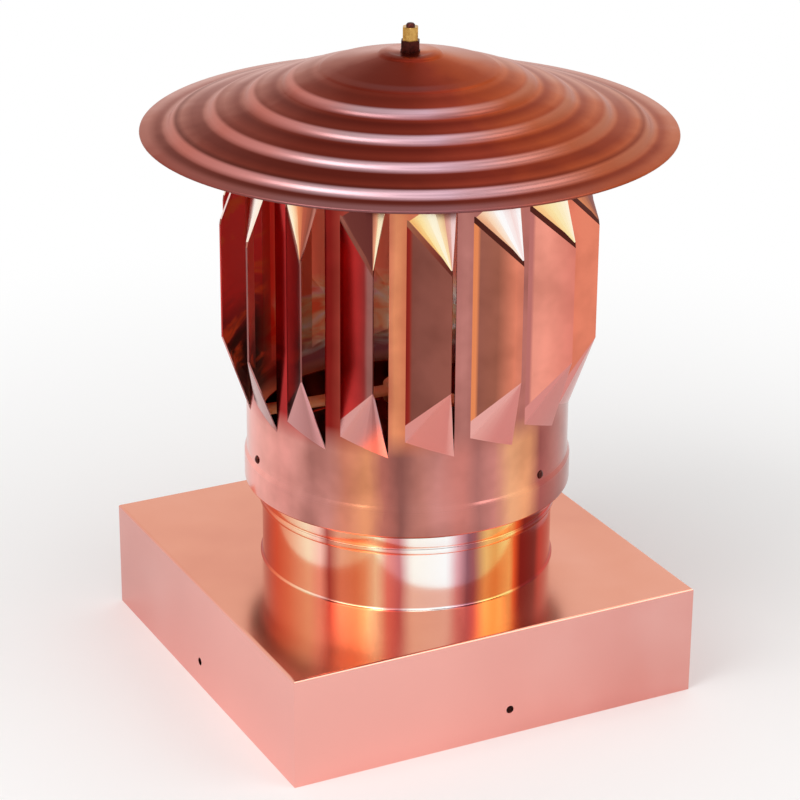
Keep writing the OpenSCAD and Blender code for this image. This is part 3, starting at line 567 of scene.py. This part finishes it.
# Copper browned by the weather and lacquered. The lands are painted maroon on one
# side and orange-brown on the other, paler at the back, as painted reflections; each
# ridge is painted pale as a painted highlight, with painted shade in the hollow beside it.
cap_copper, tree, shader, place = metal("browned spun copper", 0.34)
shader.inputs["Specular Tint"].default_value = linear("#E8D4CF")
apart = add(tree, "ShaderNodeSeparateXYZ", {"Vector": place})
flat_place = add(tree, "ShaderNodeCombineXYZ", {"X": apart.outputs["X"], "Y": apart.outputs["Y"], "Z": 0.0})
radius = add(tree, "ShaderNodeVectorMath", {0: flat_place.outputs[0]}, operation="LENGTH")
radius_part = add(tree, "ShaderNodeMath", {0: radius.outputs["Value"], 1: cap_r * MM}, operation="DIVIDE")
# Painted highlight along each ridge and at the rim.
stops = [(0.0, "#000000")]
for r, h, slope in reversed(ridges):
    highlight_level = "#FFFFFF" if slope > 40 else "#444444"
    crest = r - max(0, 134 - r) * 0.06
    stops += [((crest - 4.5) / cap_r, "#000000"), ((crest - 2) / cap_r, highlight_level), ((crest + 0.5) / cap_r, highlight_level),
              ((crest + 5) / cap_r, "#000000")]
stops += [(0.94, "#000000"), (0.97, "#8C8C8C")]
painted_highlight_part = add(tree, "ShaderNodeValToRGB", {"Fac": radius_part.outputs[0]}, stops=stops)
# Painted shade in the hollow beside each ridge.
stops = [(0.0, "#FFFFFF")]
for r, h, slope in reversed(ridges):
    shade_tone = "#D0B0AC" if slope > 40 else "#E8DCD8"
    shade_end = 12 if r == 133.5 else 8
    stops += [((r - 5) / cap_r, "#C4ACA8" if r == 161 else "#E8D8D4"), ((r + 3) / cap_r, "#FFFFFF"), ((r + 6) / cap_r, shade_tone),
              ((r + shade_end) / cap_r, shade_tone), ((r + shade_end + 7) / cap_r, "#FFFFFF")]
painted_shade_part = add(tree, "ShaderNodeValToRGB", {"Fac": radius_part.outputs[0]}, stops=stops)
# The lands' brown tone, with painted reflections that change round the cap.
land_and_painted_reflection = tint_round(tree, place, 30, [
    (-165, "#D8AEA4"), (-125, "#DCB6AE"), (-92, "#AC7062"), (-66, "#7C3428"), (-35, "#682014"), (0, "#682014"),
    (22, "#7A2A1A"), (42, "#963E1E"), (62, "#A84A24"), (86, "#C46E48"), (108, "#D29A84"), (145, "#D8AEA4")])
land_with_painted_shade = add(tree, "ShaderNodeMix", {0: 1.0, 6: land_and_painted_reflection, 7: painted_shade_part.outputs["Color"]},
                 data_type="RGBA", blend_type="MULTIPLY")
# The colour of the painted highlight round the cap.
painted_highlight_tint = tint_round(tree, place, 10, [
    (-165, "#D0A69E"), (-120, "#D4B0A8"), (-90, "#C88A7E"), (-65, "#BC6E62"), (-42, "#BE7A74"), (-22, "#AE8C90"),
    (8, "#AC8A94"), (28, "#A46C64"), (50, "#A8583C"), (80, "#B87458"), (105, "#CC9C92"), (145, "#D0A69E")])
with_painted_highlight = add(tree, "ShaderNodeMix", {0: painted_highlight_part.outputs["Color"], 6: land_with_painted_shade.outputs[2],
                                            7: painted_highlight_tint}, data_type="RGBA")
tree.links.new(with_painted_highlight.outputs[2], shader.inputs["Base Color"])

edge = arc(cap_r - 1, cap_z + 1, 1, 90, -90, 6)
bm = spun(cap_face(0) + [(cap_r - 8, cap_z + 2.6)] + edge + [(cap_r - 7, cap_z + 0.6), (cap_r - 7, cap_z + 1.2)]
          + cap_face(1)[::-1], steps=160)
piece("cap_sheet", bm, "rotor", [cap_copper], ["cap"], sharp=60)

# Turned, pressed and bought parts
# Everything else keeps the shape that it was turned, drilled or bent to. Each is
# merged into smooth faces and gets the finish of its own metal or rubber.


zinc = plain_tint("zinc plated steel", 0.34, "#A9ACB0", "#C4C7CA", 90, 0.1)
ground = plain_tint("ground steel", 0.26, "#A6A5A6", "#C2C1C1", 60, 0.08)
bearing = plain_tint("polished bearing steel", 0.12, "#C6C6C8", "#DCDCDE", 40)
blackened = plain_tint("blackened steel", 0.38, "#3B1D1A", "#5A2C26", 260, 0.2)
turned_brass = plain_tint("turned brass", 0.26, "#B0813A", "#D9AE62", 260, 0.1)
bronze = plain_tint("sintered bronze", 0.45, "#8A6538", "#AA8450", 200, 0.3)
rubber = plain_tint("black rubber", 0.6, "#121213", "#1E1E20", 120, 0.2, metallic=0)
bar_copper = plain_tint("bright copper bar", 0.4, "#FF9C60", "#FFBC84", 70, 0.1, metallic=0)
rivet_copper = plain_tint("copper rivet", 0.3, "#9C5440", "#C07460", 200, 0.1)
plate_copper = plain_tint("bright drum head sheet", 0.2, "#EFA88C", "#F8BCA4", 30, 0.05)

finishes = {
    "upper_bridge": zinc, "lower_bridge": zinc, "bridge_rivets": rivet_copper, "spindle": ground,
    "bridge_washers": zinc, "bridge_nuts": zinc, "bearing_inner_rings": bearing, "bearing_spacer": zinc,
    "spindle_washer": zinc, "spindle_nut": zinc, "head_plate": plate_copper, "head_rivets": rivet_copper,
    "hub_housing": ground, "hub_rivets": zinc, "bearing_outer_rings": bearing, "bearing_balls": bearing,
    "bearing_cages": turned_brass, "dust_ring": rubber, "guide_spider": bar_copper, "guide_bush": bronze,
    "skirt_rivets": blackened, "hub_plug": blackened, "cap_washer": blackened, "lock_nut": blackened,
    "top_nut": turned_brass,
}
bodies = frame["record"]["behaviour"]["bodies"]
for node, finish in finishes.items():
    bm = bmesh.new()
    bm.from_mesh(frame["nodes"][node].data)
    bmesh.ops.remove_doubles(bm, verts=bm.verts, dist=1e-6)
    for face in bm.faces:
        face.material_index = 0
    body = next(b for b, members in bodies.items() if node in members)
    piece(node + "_finished", bm, body, [finish], [node])

# Floor, lamps and camera
# A plain pale floor under soft light from large lamps, seen as in the photograph.
bm = bmesh.new()
bmesh.ops.create_grid(bm, x_segments=1, y_segments=1, size=6)
mesh = bpy.data.meshes.new("floor")
bm.to_mesh(mesh)
bm.free()
floor = bpy.data.objects.new("floor", mesh)
bpy.context.scene.collection.objects.link(floor)
paper = bpy.data.materials.new("pale paper")
paper.use_nodes = True
tree = paper.node_tree
shader = tree.nodes["Principled BSDF"]
shader.inputs["Base Color"].default_value = linear("#F6F5F4")
shader.inputs["Roughness"].default_value = 0.9
place = add(tree, "ShaderNodeTexCoord").outputs["Object"]
away = add(tree, "ShaderNodeVectorMath", {0: place}, operation="LENGTH")
far = add(tree, "ShaderNodeMapRange", {"Value": away.outputs["Value"], "From Min": 0.2, "From Max": 0.9},
          interpolation_type="SMOOTHSTEP")
path = add(tree, "ShaderNodeLightPath")
seen = add(tree, "ShaderNodeMath", {0: path.outputs["Is Camera Ray"], 1: path.outputs["Is Glossy Ray"]},
           operation="MAXIMUM")
seen = add(tree, "ShaderNodeMath", {0: seen.outputs[0], 1: path.outputs["Is Transmission Ray"]}, operation="MAXIMUM")
white_part = add(tree, "ShaderNodeMath", {0: seen.outputs[0], 1: far.outputs["Result"]}, operation="MULTIPLY")
white = add(tree, "ShaderNodeEmission", {"Color": (1, 1, 1, 1), "Strength": 1.0})
mixed = add(tree, "ShaderNodeMixShader", {0: white_part.outputs[0], 1: shader.outputs[0], 2: white.outputs[0]})
tree.links.new(mixed.outputs[0], tree.nodes["Material Output"].inputs["Surface"])
mesh.materials.append(paper)

world = bpy.data.worlds.new("studio")
bpy.context.scene.world = world
world.use_nodes = True
tree = world.node_tree
path = add(tree, "ShaderNodeLightPath")
seen = add(tree, "ShaderNodeMath", {0: path.outputs["Is Camera Ray"], 1: path.outputs["Is Glossy Ray"]},
           operation="MAXIMUM")
seen = add(tree, "ShaderNodeMath", {0: seen.outputs[0], 1: path.outputs["Is Transmission Ray"]}, operation="MAXIMUM")
tree.nodes["Background"].inputs["Color"].default_value = (1, 1, 1, 1)
tree.nodes["Background"].inputs["Strength"].default_value = 0.55
white = add(tree, "ShaderNodeBackground", {"Color": (1, 1, 1, 1), "Strength": 1.0})
mixed = add(tree, "ShaderNodeMixShader", {0: seen.outputs[0], 1: tree.nodes["Background"].outputs[0],
                                          2: white.outputs[0]})
tree.links.new(mixed.outputs[0], tree.nodes["World Output"].inputs["Surface"])


def around(azimuth, elevation):
    """The direction from the cowl to a place at that azimuth and elevation."""
    a, e = math.radians(azimuth), math.radians(elevation)
    return Vector((math.sin(a) * math.cos(e), -math.cos(a) * math.cos(e), math.sin(e)))


cowl_middle = Vector((0, 0, 0.23))
for name, azimuth, elevation, away, size, watts in (
        ("key softbox", -75, 48, 1.9, 1.1, 14), ("front softbox", -30, 72, 2.0, 1.0, 4.5),
        ("fill softbox", 40, 40, 2.1, 1.2, 8), ("top softbox", 120, 66, 2.0, 1.2, 4)):
    lamp = bpy.data.lights.new(name, "AREA")
    lamp.shape = "SQUARE"
    lamp.size = size
    lamp.energy = watts
    stand = bpy.data.objects.new(name, lamp)
    stand.location = cowl_middle + around(azimuth, elevation) * away
    stand.rotation_euler = around(azimuth, elevation).to_track_quat("Z", "Y").to_euler()
    bpy.context.scene.collection.objects.link(stand)

camera_azimuth, camera_elevation, camera_roll = -27.188, 22.6, 0.428
camera_distance = 1.9257
aim_aside, aim_up = -0.00513, 0.1908
back = around(camera_azimuth, camera_elevation)
right = Vector((0, 0, 1)).cross(back).normalized()
up = back.cross(right)
target = right * aim_aside + Vector((0, 0, aim_up))
roll = math.radians(camera_roll)
turned_right = right * math.cos(roll) + up * math.sin(roll)
turned_up = back.cross(turned_right)
camera = bpy.data.objects.new("camera", bpy.data.cameras.new("camera"))
camera.data.lens = 124.18
camera.data.sensor_width = 36
camera.matrix_world = Matrix((turned_right, turned_up, back)).transposed().to_4x4()
camera.location = target + back * camera_distance
bpy.context.scene.collection.objects.link(camera)
bpy.context.scene.camera = camera
bpy.context.scene.view_settings.view_transform = "Standard"
